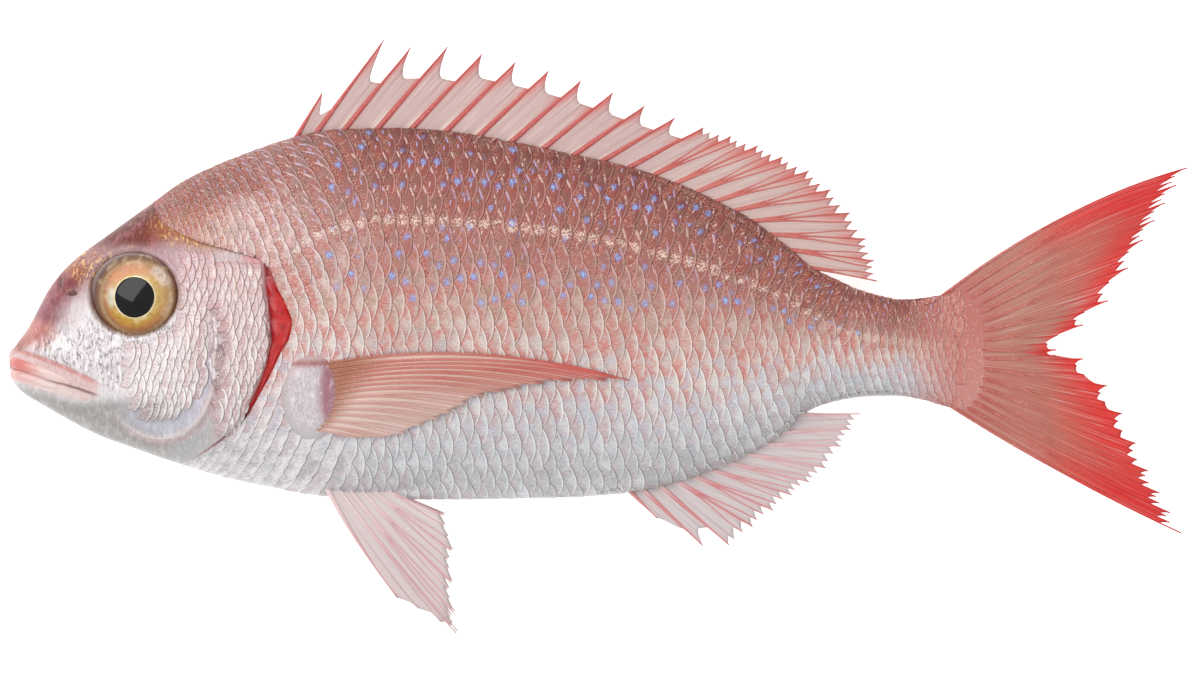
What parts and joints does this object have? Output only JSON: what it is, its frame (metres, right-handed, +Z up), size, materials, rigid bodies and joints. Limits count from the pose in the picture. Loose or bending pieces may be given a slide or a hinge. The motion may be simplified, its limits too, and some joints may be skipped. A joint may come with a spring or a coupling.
{
  "type": "whole raw fish",
  "caption": "Whole raw red sea bream lying on its right side: deep scaly body, large eye, spiny back fin and forked red tail.",
  "frame": {"origin": "centre of the bounding box's bottom face, on the surface that the fish lies on", "axes": "+Z up, out of the fish's left side; +X towards the tail; +Y towards the back"},
  "size_m": [0.35, 0.1765, 0.0455],
  "materials": {
    "skin": "moist scaly skin, salmon red above and silver below",
    "fin": "thin moist fin web over red rays",
    "gill": "wet dark red gill",
    "eye": "wet clear dome over a gold iris and a black pupil"
  },
  "bodies": {
    "root": {"fish": "skin", "eye_left": "eye", "eye_right": "eye"}
  },
  "joints": []
}
